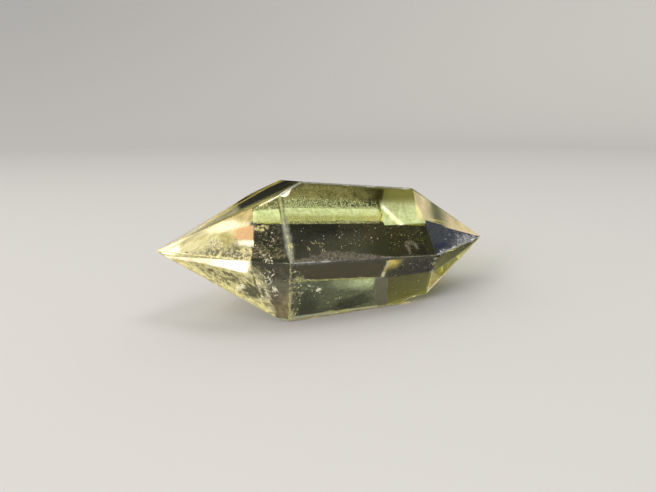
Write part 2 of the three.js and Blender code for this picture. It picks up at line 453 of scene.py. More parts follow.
# grain is the fine grain's pitch in mm, drawn out by stretch at a slant in degrees; tones are linear
veilFinishes = {
    "creamHaze": dict(tones=((0.4, 0.38, 0.15), (0.82, 0.76, 0.45), (0.95, 0.9, 0.65)), grain=0.6, grit=0.6,
        cloud=0.6, stretch=3, slant=25, glow=0.28),
    "mottledHaze": dict(tones=((0.28, 0.26, 0.06), (0.72, 0.65, 0.25), (1, 0.93, 0.62)), grain=0.45,
        contrast=1.4, grit=0.8, cloud=0.4, stretch=2, slant=-35, glow=0.4),
    "creamStreak": dict(tones=((0.9, 0.72, 0.36), (1, 0.9, 0.64), (1, 0.97, 0.85)), grain=0.6, grit=0.3,
        cloud=0.7, stretch=3, slant=20, glow=0.6),
    "creamSmooth": dict(tones=((0.62, 0.52, 0.28), (0.9, 0.74, 0.42), (0.88, 0.74, 0.44)), grain=2,
        cloud=0.7, glow=0.75),
    # this glowing white finish is a painted highlight under the tip, in the wedge and in the corner stripe;
    # along the upper front edge by the shoulder it is a white crack with a painted glow
    "whiteCrackAndGlint": dict(tones=((1, 0.88, 0.6), (1, 0.98, 0.92), (1, 1, 1)), grain=0.9, grit=0.3, stretch=4,
        slant=-3, glow=0.9),
    "amberHaze": dict(tones=((0.25, 0.21, 0.06), (0.65, 0.47, 0.15), (0.78, 0.64, 0.28)), grain=0.4,
        grit=0.4, stretch=2, slant=60, glow=0.3),
    "oliveStain": dict(tones=((0.3, 0.27, 0.04), (0.42, 0.36, 0.07), (0.6, 0.54, 0.2)), grain=0.4, grit=0.3,
        cloud=0.6, glow=0.25),
    "peachStain": dict(tones=((0.85, 0.42, 0.15), (0.88, 0.52, 0.23), (0.9, 0.6, 0.3)), grain=0.6, grit=0.3,
        glow=0.25),
    "paleSpeckle": dict(tones=((0.26, 0.29, 0.1), (0.45, 0.49, 0.2), (0.82, 0.88, 0.52)), grain=0.18,
        contrast=2, grit=1, cloud=0.15, glow=0.25),
    "yellowGrit": dict(tones=((0.4, 0.4, 0.12), (0.62, 0.6, 0.25), (0.92, 0.9, 0.55)), grain=0.22,
        contrast=1.6, grit=1, cloud=0.45, glow=0.25),
    "bandMottle": dict(tones=((0.38, 0.38, 0.12), (0.6, 0.62, 0.26), (0.76, 0.78, 0.42)), grain=0.25,
        contrast=1.2, grit=0.6, cloud=0.4, glow=0.25),
    "darkSpeckle": dict(tones=((0.01, 0.02, 0.005), (0.03, 0.04, 0.01), (0.06, 0.09, 0.03)), grain=0.2,
        contrast=2.2, grit=1, cloud=0.15),
    "oliveSpeckle": dict(tones=((0.05, 0.05, 0.008), (0.13, 0.12, 0.014), (0.17, 0.16, 0.02)), grain=0.5,
        contrast=1.4, grit=0.9, cloud=0.35, stretch=1.4, slant=-40),
    "oliveCloud": dict(tones=((0.13, 0.12, 0.035), (0.48, 0.45, 0.17), (0.6, 0.57, 0.25)), grain=0.28,
        grit=0.6, cloud=0.6, glow=0.08),
    "whiteSpeckle": dict(tones=((0.3, 0.3, 0.3), (0.8, 0.8, 0.8), (1, 1, 1)), grain=0.16, contrast=3, grit=1,
        cloud=0.35, glow=0.2),
    "greyBruise": dict(tones=((0.08, 0.075, 0.07), (0.2, 0.19, 0.18), (0.5, 0.46, 0.4)), grain=0.25,
        grit=0.5, cloud=0.4, glow=0.05),
    "softBruise": dict(tones=((0.3, 0.32, 0.3), (0.55, 0.57, 0.52), (0.62, 0.64, 0.6)), grain=0.5, grit=0.2,
        cloud=0.6, glow=0.1),
    "greyFog": dict(tones=((0.07, 0.06, 0.045), (0.17, 0.18, 0.18), (0.14, 0.14, 0.13)), grain=1, cloud=0.8),
    "brownFog": dict(tones=((0.09, 0.07, 0.012), (0.15, 0.12, 0.03), (0.13, 0.105, 0.025)), grain=0.8,
        cloud=0.6, glow=0.15),
    "warmFog": dict(tones=((0.17, 0.16, 0.09), (0.24, 0.23, 0.14), (0.22, 0.21, 0.13)), grain=1, cloud=0.6,
        glow=0.35),
    "greenShadow": dict(tones=((0.03, 0.045, 0.015), (0.08, 0.1, 0.035), (0.15, 0.17, 0.07)), grain=0.4,
        grit=0.3, stretch=4, slant=80),
    "mossFog": dict(tones=((0.06, 0.06, 0.008), (0.16, 0.15, 0.02), (0.24, 0.23, 0.04)), grain=0.35,
        grit=0.3, cloud=0.6, glow=0.2),
    # painted shade: a near-black sheet that darkens whatever is seen through it
    "paintedShade": dict(tones=((0.02, 0.02, 0.002), (0.045, 0.04, 0.006), (0.06, 0.05, 0.01)), grain=0.6,
        cloud=0.6),
    "brownHaze": dict(tones=((0.2, 0.15, 0.07), (0.45, 0.36, 0.2), (0.55, 0.47, 0.3)), grain=0.45, grit=0.5,
        cloud=0.6, stretch=2, slant=-60, glow=0.12),
    "greyMottle": dict(tones=((0.03, 0.03, 0.02), (0.18, 0.15, 0.1), (0.5, 0.43, 0.3)), grain=0.32,
        contrast=1.4, grit=1, cloud=0.4),
    "sparkMottle": dict(tones=((0.2, 0.18, 0.04), (0.5, 0.46, 0.16), (0.97, 0.88, 0.52)), grain=0.42,
        contrast=1.8, grit=1, cloud=0.25, stretch=1.4, slant=-30, glow=0.25),
    "greenHaze": dict(tones=((0.06, 0.075, 0.02), (0.24, 0.29, 0.12), (0.46, 0.54, 0.28)), grain=0.5,
        contrast=1.2, grit=0.5, cloud=0.6, glow=0.15),
    "greenGlow": dict(tones=((0.55, 0.6, 0.24), (0.72, 0.8, 0.42), (0.84, 0.92, 0.6)), grain=0.5, grit=0.1,
        cloud=0.7, glow=0.45),
    "limeLine": dict(tones=((0.5, 0.52, 0.1), (0.66, 0.68, 0.2), (0.85, 0.85, 0.4)), grain=0.4, grit=0.4,
        glow=0.3),
    "goldGlow": dict(tones=((0.4, 0.28, 0.03), (0.8, 0.62, 0.15), (1, 0.85, 0.4)), grain=0.3, contrast=1.4,
        grit=0.8, glow=0.2),
    "goldSmooth": dict(tones=((0.5, 0.4, 0.04), (0.86, 0.67, 0.09), (0.92, 0.74, 0.18)), grain=0.6,
        cloud=0.6, glow=0.4),
}
veilMaterials = {name: veilMaterial(name, finish) for name, finish in veilFinishes.items()}
print("materials made")


def smoothStep(value, width):
    # 3 t^2 - 2 t^3, with t the value over the width, held between 0 and 1
    share = np.clip(value / max(width, 1e-3), 0, 1)
    return share * share * (3 - 2 * share)


def layUnder(name, x, other, depth):
    # the point depth mm under a cut, at x and a height or, under a flat cut, at x and y:
    # normal . point = reach - depth
    cut = stone["names"][name]
    normal, reach = stone["normals"][cut], stone["reaches"][cut] / mm - depth
    given, solved = (1, 2) if abs(normal[2]) > abs(normal[1]) else (2, 1)
    place = np.empty(np.shape(x) + (3,))
    place[..., 0], place[..., given] = x, other
    place[..., solved] = (reach - normal[0] * x - normal[given] * other) / normal[solved]
    return place * mm


def keepInside(points, gap, rounds=4):
    # a point nearer a cut than the gap is pushed in along that cut's normal
    for _ in range(rounds):
        past = points @ stone["normals"].T - stone["reaches"] + gap * mm
        worst = past.argmax(-1)
        points = points - np.maximum(past.max(-1), 0)[..., None] * stone["normals"][worst]
    return points


def addInside(name, points, faces, material, attribute, values):
    # a piece sealed in the crystal, with a value stored at each of its points
    piece = addMesh(name, points, faces, material)
    piece.data.attributes.new(attribute, "FLOAT", "POINT").data.foreach_set("value", values.ravel())
    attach(piece, "root")
    return piece


def addSheet(name, points, cover, finish, wallThickness=0.02):
    # a grid of points, closed by a thin wall
    faces = gridQuads(np.arange(cover.size).reshape(cover.shape))
    piece = addInside(name, points, faces, veilMaterials[finish], "cover", cover)
    wall = piece.modifiers.new("wall", "SOLIDIFY")
    wall.thickness = wallThickness * mm
    wall.offset = 0


def spread(corners, u, v):
    # the bilinear blend of four corners, u from the first to the second and v from the first to the last
    weights = np.stack([(1 - u) * (1 - v), u * (1 - v), u * v, (1 - u) * v], -1)
    return weights @ np.array(corners, float)


plainVeil = dict(depth=0.3, bulge=0)  # mm, unless a veil says otherwise


def buildVeil(name, veil, steps=(33, 25), gap=0.09):
    # four corners spread bilinearly under a facet, sunk by bulge * sin(pi u) * sin(pi v);
    # cover fades in from each side
    veil = {**plainVeil, **veil}
    u, v = np.meshgrid(*(np.linspace(0, 1, count) for count in steps), indexing="ij")
    place = spread(veil["corners"], u, v)
    sink = veil["depth"] + veil["bulge"] * np.sin(math.pi * u) * np.sin(math.pi * v)
    start, end, near, far = veil["fade"]
    edge = smoothStep(u, start) * smoothStep(1 - u, end) * smoothStep(v, near) * smoothStep(1 - v, far)
    points = keepInside(layUnder(veil["under"], place[..., 0], place[..., 1], sink), gap)
    addSheet(name, points, edge * place[..., 2], veil["finish"])


# corners are (x, height, cover) or, under the flat top cut, (x, y, cover);
# u runs from the first to the second and v to the last.
# fade is the share of the sheet over which it fades in at u 0, u 1, v 0 and v 1
veils = {
    "longPointHaze": dict(under="longUpperFront", finish="creamHaze", depth=0.5, bulge=0.8,
        fade=(0, 0.02, 0, 0),
        corners=((-25.2, 10.1, 0.95), (-13.6, 16.4, 0.7), (-15, 10, 0.5), (-24.8, 9.6, 0.8))),
    "oliveBlotch": dict(under="longUpperFront", finish="oliveStain", fade=(0.5, 0.5, 0.5, 0.5),
        corners=((-18.4, 13.9, 0.9), (-15.6, 13.2, 0.8), (-16.4, 10.6, 0.7), (-19.3, 11.2, 0.8))),
    "lowerPointHaze": dict(under="longLowerFront", finish="mottledHaze", depth=0.5, bulge=0.6,
        fade=(0, 0.04, 0, 0),
        corners=((-24.8, 9.5, 1), (-15, 10.2, 0.75), (-12, 1.4, 0.75), (-24.6, 9.1, 1.1))),
    "topPointHaze": dict(under="longTop", finish="creamHaze", bulge=0.3, fade=(0, 0.12, 0, 0),
        corners=((-25.7, -0.3, 1), (-12.6, 9, 0.8), (-14.6, -3.6, 0.8), (-24.9, -2.5, 1))),
    "topPointStrip": dict(under="longTop", finish="goldSmooth", depth=0.15, fade=(0.3, 0.02, 0, 0.6),
        corners=((-25.7, -0.8, 0.6), (-5.8, 6.2, 0.85), (-6.8, 3.8, 0.7), (-25.3, -1.2, 0.6))),
    "topPointGlow": dict(under="longTop", finish="creamStreak", depth=0.2, fade=(0, 0.5, 0, 0.5),
        corners=((-25.7, -0.8, 1.1), (-14, 3.4, 0.7), (-13.6, 1, 0.2), (-25.3, -1.6, 0.9))),
    "upperStreak": dict(under="longUpperFront", finish="creamStreak", depth=0.25, fade=(0.5, 0.3, 0.5, 0.45),
        corners=((-22.5, 11.9, 0.5), (-16.4, 15, 1), (-13.9, 14, 0.9), (-16.8, 12.8, 0.7))),
    # a painted highlight: a glowing white sheet for the whitish light near the tip
    "tipGlint": dict(under="longUpperFront", finish="whiteCrackAndGlint", depth=0.25, fade=(0, 0.8, 0.3, 0.2),
        corners=((-25.3, 10.2, 1), (-22, 12, 0.9), (-22.6, 9.9, 0.8), (-25.1, 9.7, 1))),
    "amberCloud": dict(under="longUpperFront", finish="amberHaze", depth=0.25, fade=(0.5, 0, 0.05, 0.35),
        corners=((-18.6, 15, 0.5), (-13.7, 16.6, 0.95), (-14.1, 14.1, 0.9), (-17.6, 14, 0.3))),
    "peachPatch": dict(under="longUpperFront", finish="peachStain", depth=0.25, fade=(0.6, 0, 0.2, 0.15),
        corners=((-17, 13.4, 0.7), (-14, 14.1, 1.1), (-14.4, 12.3, 1.1), (-17, 12.1, 0.7))),
    "creamLip": dict(under="longUpperFront", finish="creamStreak", depth=0.25, fade=(0.6, 0, 0.4, 0.6),
        corners=((-17, 12.2, 0.3), (-14.3, 12.5, 0.9), (-14.5, 11.4, 0.8), (-16.6, 11.2, 0.3))),
    "edgeMottle": dict(under="longUpperFront", finish="sparkMottle", fade=(0.4, 0, 0.5, 0),
        corners=((-19.4, 12.4, 0.1), (-14.3, 12.2, 0.4), (-14.9, 9.9, 0.42), (-23.8, 9.7, 0.35))),
    "ridgeShade": dict(under="longUpperFront", finish="oliveSpeckle", depth=0.4, fade=(0.4, 0, 0.6, 0),
        corners=((-21, 11.3, 0.35), (-14.6, 12.4, 0.9), (-14.95, 9.9, 1), (-22, 9.9, 0.75))),
    # painted highlight: the cream and white wedge glows where bright light is refracted under the long lower
    # front cut
    "creamWedgeGlint": dict(under="longLowerFront", finish="creamStreak", depth=0.2, fade=(0, 0.4, 0.05, 0.2),
        corners=((-24.8, 9.5, 0.8), (-17, 10.05, 0.9), (-17, 8.5, 0.9), (-24.8, 9.35, 0.8))),
    "whiteWedgeGlint": dict(under="longLowerFront", finish="whiteCrackAndGlint", depth=0.22, fade=(0.4, 0.12, 0.08, 0.3),
        corners=((-21.4, 9.7, 0.5), (-14.9, 10.2, 1.4), (-15.1, 7.9, 1.4), (-20.6, 8.9, 0.5))),
    "lowerPointShade": dict(under="longLowerFront", finish="oliveSpeckle", depth=0.35,
        fade=(0.3, 0.02, 0.05, 0.1),
        corners=((-22, 8.6, 0.45), (-14.8, 7.8, 0.32), (-12.2, 1.6, 0.1), (-19.5, 5.8, 0.1))),
    "pointShadow": dict(under="longLowerFront", finish="greenShadow", fade=(0.5, 0.2, 0.4, 0.3),
        corners=((-16.2, 6.3, 0.6), (-13.4, 6.8, 0.8), (-12.6, 4, 0.7), (-15.8, 3.5, 0.5))),
    "shortPointHaze": dict(under="shortUpperFront", finish="creamSmooth", depth=0.25, fade=(0.35, 0, 0, 0),
        corners=((14.6, 14.2, 0.2), (25.8, 7.6, 0.9), (25, 7.75, 0.9), (14.4, 11.2, 0.75))),
    "shortRingHaze": dict(under="shortUpperFront", finish="creamSmooth", fade=(0, 0.55, 0, 0),
        corners=((10.1, 16.8, 0.5), (14.4, 14.4, 0.75), (13.6, 11.8, 0.95), (9.6, 13, 0.6))),
    "shortPointSpeckle": dict(under="shortUpperFront", finish="whiteSpeckle", depth=0.4,
        fade=(0.3, 0, 0.3, 0),
        corners=((17.7, 10.6, 0.1), (24.6, 7.9, 0.6), (22.6, 7.5, 0.65), (13.5, 8.2, 0.2))),
    "shortCornerShade": dict(under="shortUpperFront", finish="paintedShade", depth=0.35, fade=(0.1, 0.4, 0.3, 0),
        corners=((11, 9.8, 0.9), (15, 9.2, 0.9), (14.4, 7.8, 1.1), (11, 7.8, 1.1))),
    "upperCloud": dict(under="upperFront", finish="oliveCloud", depth=0.35, fade=(0, 0.3, 0, 0.05),
        corners=((-9.6, 19, 1), (5, 17.8, 0.2), (3.7, 14.7, 0.4), (-10.1, 15.9, 0.7))),
    # painted shade over the right part of the upper front cut
    "upperPaintedShade": dict(under="upperFront", finish="paintedShade", depth=0.4, fade=(0.5, 0, 0.15, 0.3),
        corners=((-7, 18.8, 0.1), (5.6, 17.3, 1), (4.2, 14.9, 0.95), (-7.5, 15.8, 0.2))),
    "upperGrain": dict(under="upperFront", finish="paleSpeckle", fade=(0, 0.02, 0.7, 0),
        corners=((-10, 18.2, 0.2), (3.9, 16.4, 0), (3.7, 14.5, 0.95), (-10.1, 15.7, 0.95))),
    "upperGrainDark": dict(under="upperFront", finish="darkSpeckle", depth=0.28, fade=(0, 0.02, 0.6, 0.2),
        corners=((-10, 17.6, 0.15), (3.9, 16.3, 0.35), (3.7, 14.8, 0.4), (-10.1, 16, 0.26))),
    "bandShine": dict(under="upperFront", finish="greenGlow", depth=0.25, fade=(0.02, 0.02, 0.08, 0.3),
        corners=((-10.2, 15.95, 1.2), (3.8, 14.75, 1.1), (3.6, 13.7, 0), (-10.3, 14.8, 0))),
    "bandGrain": dict(under="upperFront", finish="bandMottle", fade=(0.02, 0.02, 0.2, 0.05),
        corners=((-10.2, 15.6, 0.5), (3.8, 14.5, 0.5), (3.5, 12.9, 0.4), (-10.3, 14, 0.4))),
    # painted highlight: a glowing white stripe along the streak of window light at this corner
    "cornerGlintStripe": dict(under="upperFront", finish="whiteCrackAndGlint", depth=0.2, fade=(0.15, 0, 0.5, 0.6),
        corners=((4.4, 15.6, 0.3), (7.5, 12.45, 0.7), (5.9, 12.45, 0.6), (3.9, 14.9, 0.3))),
    "cornerGlow": dict(under="upperFront", finish="greenGlow", fade=(0, 0, 0.3, 0),
        corners=((4, 16.2, 0), (10.1, 16, 0), (10.9, 12.3, 0.9), (3.9, 12.6, 1.5))),
    "bandFog": dict(under="upperFront", finish="greyFog", bulge=1.5, fade=(0.1, 0.4, 0.25, 0.05),
        corners=((-10.2, 13.6, 0.6), (3.8, 12.6, 0.35), (2.4, 8.9, 0.3), (-10.2, 9.8, 0.8))),
    "ovalMark": dict(under="upperFront", finish="greyBruise", depth=0.2, fade=(0.5, 0.5, 0.4, 0.4),
        corners=((6.3, 10.4, 1.1), (7.1, 10.4, 1.1), (7.3, 8.7, 1), (6.6, 8.7, 1))),
    "ovalMarkTop": dict(under="upperFront", finish="greyBruise", depth=0.2, fade=(0.4, 0.4, 0.5, 0.5),
        corners=((6.4, 10.7, 1), (8.1, 10.4, 1), (8.1, 9.7, 1), (6.4, 9.9, 1))),
    "ovalMarkRight": dict(under="upperFront", finish="greyBruise", depth=0.2, fade=(0.5, 0.5, 0.4, 0.4),
        corners=((7.6, 10.3, 0.9), (8.4, 10.2, 0.9), (8.7, 9.2, 0.8), (7.9, 9.2, 0.8))),
    "shoulderGrain": dict(under="upperShoulder", finish="paleSpeckle", fade=(0, 0.02, 0.4, 0.02),
        corners=((-13.6, 16.8, 0.15), (-10.6, 17.2, 0.1), (-10.8, 15.2, 0.6), (-13.9, 15.2, 0.6))),
    "shoulderShine": dict(under="upperShoulder", finish="greenGlow", depth=0.25, fade=(0, 0.02, 0.1, 0.1),
        corners=((-14, 15.7, 1), (-10.7, 15.9, 0.95), (-10.7, 14.3, 0), (-14.2, 14.2, 0))),
    "shoulderBand": dict(under="upperShoulder", finish="bandMottle", fade=(0, 0.02, 0.1, 0.02),
        corners=((-14, 15.5, 0.6), (-10.7, 15.7, 0.55), (-10.7, 14.2, 0.5), (-14.2, 14.2, 0.6))),
    "shoulderCream": dict(under="upperShoulder", finish="sparkMottle", depth=0.25, fade=(0.1, 0.6, 0.2, 0.6),
        corners=((-14.1, 14.1, 0.45), (-11.2, 14.1, 0.3), (-12, 13, 0.1), (-14.4, 12.8, 0.3))),
    "shoulderMottle": dict(under="upperShoulder", finish="greyMottle", depth=0.4, bulge=0.8,
        fade=(0.02, 0.05, 0.1, 0.02),
        corners=((-14.1, 14.1, 0.3), (-10.7, 14.3, 0.1), (-10.5, 10, 0.1), (-15, 10.2, 0.4))),
    "lowerShoulderMottle": dict(under="lowerShoulder", finish="greyMottle", depth=0.4, bulge=0.6,
        fade=(0, 0.02, 0.02, 0.2),
        corners=((-15.1, 9.7, 0.42), (-10.3, 9.5, 0.16), (-10, 5.4, 0.16), (-14.3, 5.4, 0.45))),
    "lowerShoulderHaze": dict(under="lowerShoulder", finish="brownHaze", depth=0.45, bulge=0.6,
        fade=(0, 0.02, 0.5, 0),
        corners=((-14.4, 6.8, 0.55), (-9.9, 6.7, 0.6), (-9.3, 0.1, 0.95), (-11.9, 1.2, 1.1))),
    "lowerShoulderFrost": dict(under="lowerShoulder", finish="mottledHaze", fade=(0, 0.6, 0, 0),
        corners=((-15.2, 9.8, 0.3), (-13.2, 9.2, 0), (-10.6, 0.4, 0.2), (-12.4, 0.9, 1))),
    "greyStrip": dict(under="lowerFront", finish="warmFog", depth=0.25, fade=(0.05, 0.03, 0.02, 0),
        corners=((2.2, 5.6, 0.9), (4.05, 5.6, 0.9), (5.6, 0.2, 1.1), (3.9, 0.2, 1.1))),
    "goldEdge": dict(under="lowerFront", finish="mottledHaze", depth=0.2, fade=(0.4, 0.4, 0.05, 0.05),
        corners=((3.1, 8.45, 1), (4.1, 8.4, 1), (3.7, 5.6, 1), (2.8, 5.7, 1))),
    "goldCorner": dict(under="lowerFront", finish="goldSmooth", fade=(0.02, 0.6, 0.02, 0.6),
        corners=((3.6, 8.5, 1.3), (6.4, 8.3, 0.3), (5.6, 6.3, 0), (3.6, 6.6, 0.6))),
    "goldShade": dict(under="lowerFront", finish="oliveSpeckle", depth=0.4, fade=(0.1, 0.02, 0.4, 0.1),
        corners=((3.7, 7.6, 0.5), (10.6, 8.4, 0.55), (10.6, 6, 0.6), (3.9, 5.4, 0.6))),
    "lowerShine": dict(under="lowerFront", finish="limeLine", depth=0.2, fade=(0.02, 0.02, 0.2, 0.5),
        corners=((-9.8, 7.05, 0.9), (2.3, 5.85, 0.9), (2.3, 5.5, 0.3), (-9.7, 6.7, 0.2))),
    "lowerGlow": dict(under="lowerFront", finish="greenGlow", depth=0.25, fade=(0.3, 0.02, 0.05, 0.6),
        corners=((-5.6, 6.3, 0.1), (2.3, 5.7, 0.75), (2.4, 3.2, 0.4), (-5, 4.2, 0))),
    "greenCloud": dict(under="lowerFront", finish="greenHaze", depth=0.4, bulge=0.8,
        fade=(0.05, 0.02, 0.02, 0.1),
        corners=((-9.5, 7, 0.45), (2.3, 5.7, 0.85), (4, 0.4, 0.35), (-9.2, 1.5, 0.3))),
    "lowerBrown": dict(under="lowerFront", finish="brownFog", fade=(0.05, 0.02, 0.15, 0.02),
        corners=((-9.6, 9.4, 0.5), (3.4, 8.4, 0.85), (2.6, 5.8, 0.85), (-9.8, 7.1, 0.6))),
    "lowerCluster": dict(under="lowerFront", finish="yellowGrit", depth=0.2, fade=(0.3, 0.5, 0.5, 0.4),
        corners=((-10, 8.3, 0.6), (-8, 7.9, 0.6), (-8, 6.2, 0.7), (-10, 6.4, 0.7))),
    "lowerOlive": dict(under="lowerFront", finish="greenShadow", fade=(0.3, 0.3, 0.4, 0.1),
        corners=((-5, 2.2, 0.7), (2, 4.2, 0.6), (3.6, 1.4, 0.6), (-3.6, 0.3, 0.8))),
    "lowerShadow": dict(under="lowerFront", finish="greenShadow", depth=0.45, fade=(0.1, 0.6, 0.3, 0.1),
        corners=((-9.4, 6, 0.5), (-5, 5.6, 0.3), (-4.2, 1, 0.5), (-8.8, 1, 0.7))),
    "shortLowerHaze": dict(under="shortLowerFront", finish="warmFog", fade=(0, 0, 0.02, 0),
        corners=((11.3, 8.4, 0.15), (25.7, 7.7, 0.3), (16.8, 1.6, 0.4), (12.4, 0.6, 0.25))),
    # painted shade: a dark strip under the lower front corner
    "cornerPaintedShade": dict(under="lowerFront", finish="paintedShade", depth=0.35, fade=(0.4, 0.02, 0.1, 0.05),
        corners=((4.6, 8.4, 0.3), (11, 8, 1.2), (11.2, 5.5, 1.1), (4.4, 5.3, 0.5))),
    "cornerMottle": dict(under="lowerFront", finish="mossFog", depth=0.4, fade=(0.02, 0.02, 0.02, 0.05),
        corners=((4.2, 5.4, 0.85), (11.2, 6.2, 0.7), (11.6, 2, 0.3), (5.4, 0.4, 0.4))),
}
for name, veil in veils.items():
    buildVeil(name, veil)


stripWaves = {  # two wavelengths in mm; the even part and each wave's share in the width and in the cover
    "lengths": (5, 1.3), "width": (0.8, 0.3, 0.15), "cover": (1, 0.25, 0.2),
}


def buildStrip(name, cuts, strip, steps=(160, 13), gap=0.06, endFade=0.06, soft=0.8):
    # along a worn edge, t from -1 on one cut to 1 on the other:
    # edge + |t| * width * waves * swell * (the way into that cut) - depth * outward
    start, end = edgeEnds(cuts)
    first, second = normalsOf(cuts)
    length = np.linalg.norm(end - start)
    run, outward = (end - start) / length, unit(first + second)
    ways = [np.cross(first, run), np.cross(second, run)]
    ways = [way * -np.sign(way @ other) for way, other in zip(ways, (second, first))]
    s, t = np.linspace(0, 1, steps[0]), np.linspace(-1, 1, steps[1])
    pitches = zip(stripWaves["lengths"], (strip["seed"], strip["seed"] + 50))
    waves = np.stack([np.ones(len(s))] + [ripple(s * length / mm / pitch, seed) for pitch, seed in pitches])
    width = stripWaves["width"] @ waves
    if "swell" in strip:
        middle, reach = strip["swell"]
        width *= np.exp(-((s - middle) / reach) ** 2)
    across = np.where((t < 0)[:, None], *ways)
    away = width[:, None] * np.abs(t) * np.where(t < 0, *strip["widths"])
    sideways = away[..., None] * across - strip["depth"] * outward
    points = start + s[:, None, None] * (end - start) + sideways * mm
    ends = smoothStep(1 - np.abs(2 * s - 1), endFade)
    cover = np.outer(ends * strip["cover"] * (stripWaves["cover"] @ waves),
                     smoothStep(1 - np.abs(t), strip.get("soft", soft)))
    addSheet(name, keepInside(points, gap), cover, strip["finish"])


# along each edge, widths are the reach in mm into its first and its second cut;
# swell is the middle and the reach of the widest part, as shares of the edge
strips = {
    ("upperFront", "lowerFront"): {
        "ridgeBruise": dict(finish="greyBruise", widths=(1.3, 0.5), depth=0.14, cover=0.6, soft=0.35,
            swell=(0.3, 0.26), seed=3),
        "ridgeShine": dict(finish="softBruise", widths=(0.1, 0.6), depth=0.1, cover=0.7, soft=1,
            swell=(0.1, 0.16), seed=4),
    },
    ("upperFront", "upperShoulder"): {
        "shoulderBruise": dict(finish="softBruise", widths=(0.8, 0.55), depth=0.14, cover=0.7, soft=1,
            swell=(0.65, 0.38), seed=5),
        "shoulderLine": dict(finish="bandMottle", widths=(0.3, 0.3), depth=0.08, cover=0.6, soft=1,
            swell=(0.15, 0.25), seed=31),
        "shoulderGrit": dict(finish="yellowGrit", widths=(1, 0.1), depth=0.1, cover=0.3, soft=1,
            swell=(0.85, 0.25), seed=25),
    },
    ("lowerFront", "lowerShoulder"): {
        "lowerShoulderBruise": dict(finish="yellowGrit", widths=(0.8, 0.3), depth=0.12, cover=0.28, soft=1,
            seed=8),
        "lowerShoulderGrit": dict(finish="yellowGrit", widths=(1.4, 0.1), depth=0.16, cover=0.5, soft=1,
            swell=(1, 0.3), seed=27),
    },
    ("upperFront", "top"): {
        "topBruise": dict(finish="softBruise", widths=(0.22, 0.2), depth=0.08, cover=0.9, seed=11),
    },
    ("upperFront", "longTop"): {
        "cornerBruise": dict(finish="softBruise", widths=(0.3, 0.15), depth=0.08, cover=0.9, seed=12),
        "cornerBlob": dict(finish="whiteCrackAndGlint", widths=(0.8, 0.3), depth=0.1, cover=1.3, soft=0.6,
            swell=(0.2, 0.25), seed=19),
    },
    ("upperShoulder", "longTop"): {
        "shoulderTopBruise": dict(finish="creamStreak", widths=(0.3, 0.12), depth=0.1, cover=0.75, seed=13),
    },
    ("lowerFront", "base"): {
        "baseBruise": dict(finish="goldGlow", widths=(0.25, 0.3), depth=0.08, cover=0.7, seed=14),
    },
    ("shortUpperFront", "shortLowerFront"): {
        "shortRidgeBruise": dict(finish="whiteSpeckle", widths=(0.3, 0.1), depth=0.1, cover=0.6, seed=15),
    },
    ("longUpperFront", "longLowerFront"): {
        "longRidgeBruise": dict(finish="mottledHaze", widths=(0.25, 0.08), depth=0.08, cover=0.5, seed=16),
    },
    ("longTop", "longUpperBack"): {
        "longTopBruise": dict(finish="creamStreak", widths=(3.2, 0.5), depth=0.1, cover=1.2, soft=0.6,
            swell=(0.25, 0.4), seed=17),
    },
    ("longLowerFront", "longBase"): {
        "longBaseBruise": dict(finish="mottledHaze", widths=(0.5, 0.3), depth=0.08, cover=0.8, seed=18),
    },
    ("shortLowerFront", "shortBase"): {
        "shortBaseBruise": dict(finish="creamSmooth", widths=(0.6, 0.3), depth=0.08, cover=0.9, seed=20),
    },
}
for cuts, bruises in strips.items():
    for name, strip in bruises.items():
        buildStrip(name, cuts, strip)
print("veils and bruises made")


def flakeMaterial(name, finish):
    # each flake has one shine, from dull at 0 to bright at 1
    # the shine and the glow are painted glints: a brightness drawn at random for each flake, not a reflection
    # of the lamps
    material = addMaterial(name, {"Roughness": 0.35, "Emission Strength": finish["glow"]})
    tree = material.node_tree
    tone = blendTones(tree, readAttribute(tree, "shine"), finish["dull"], finish["bright"])
    setInputs(tree.nodes["Principled BSDF"], {"Base Color": tone, "Emission Color": tone})
    return material


flakeFinishes = {
    "white": dict(dull=(0.25, 0.25, 0.22), bright=(1, 1, 0.95), glow=0.6),
    "cream": dict(dull=(0.12, 0.1, 0.04), bright=(1, 0.95, 0.75), glow=0.6),
    "gold": dict(dull=(0.22, 0.2, 0.05), bright=(1, 0.88, 0.5), glow=0.5),
}
flakeMaterials = {name: flakeMaterial(name + "Flake", finish) for name, finish in flakeFinishes.items()}
flakeShape = {
    "rim": 7, "reach": (0.6, 1.3), "rise": 0.2,  # points round a flake, and shares of its size
    "tilt": 0.15, "roll": 0.5,  # how unevenly flakes lie
    "gap": 0.12, "rimGap": 0.07,  # mm from the facets to a flake's middle and to its rim
}


plainFlakes = dict(turn=0, scatter=180, stretch=1, dullness=1.5)  # unless flakes say otherwise


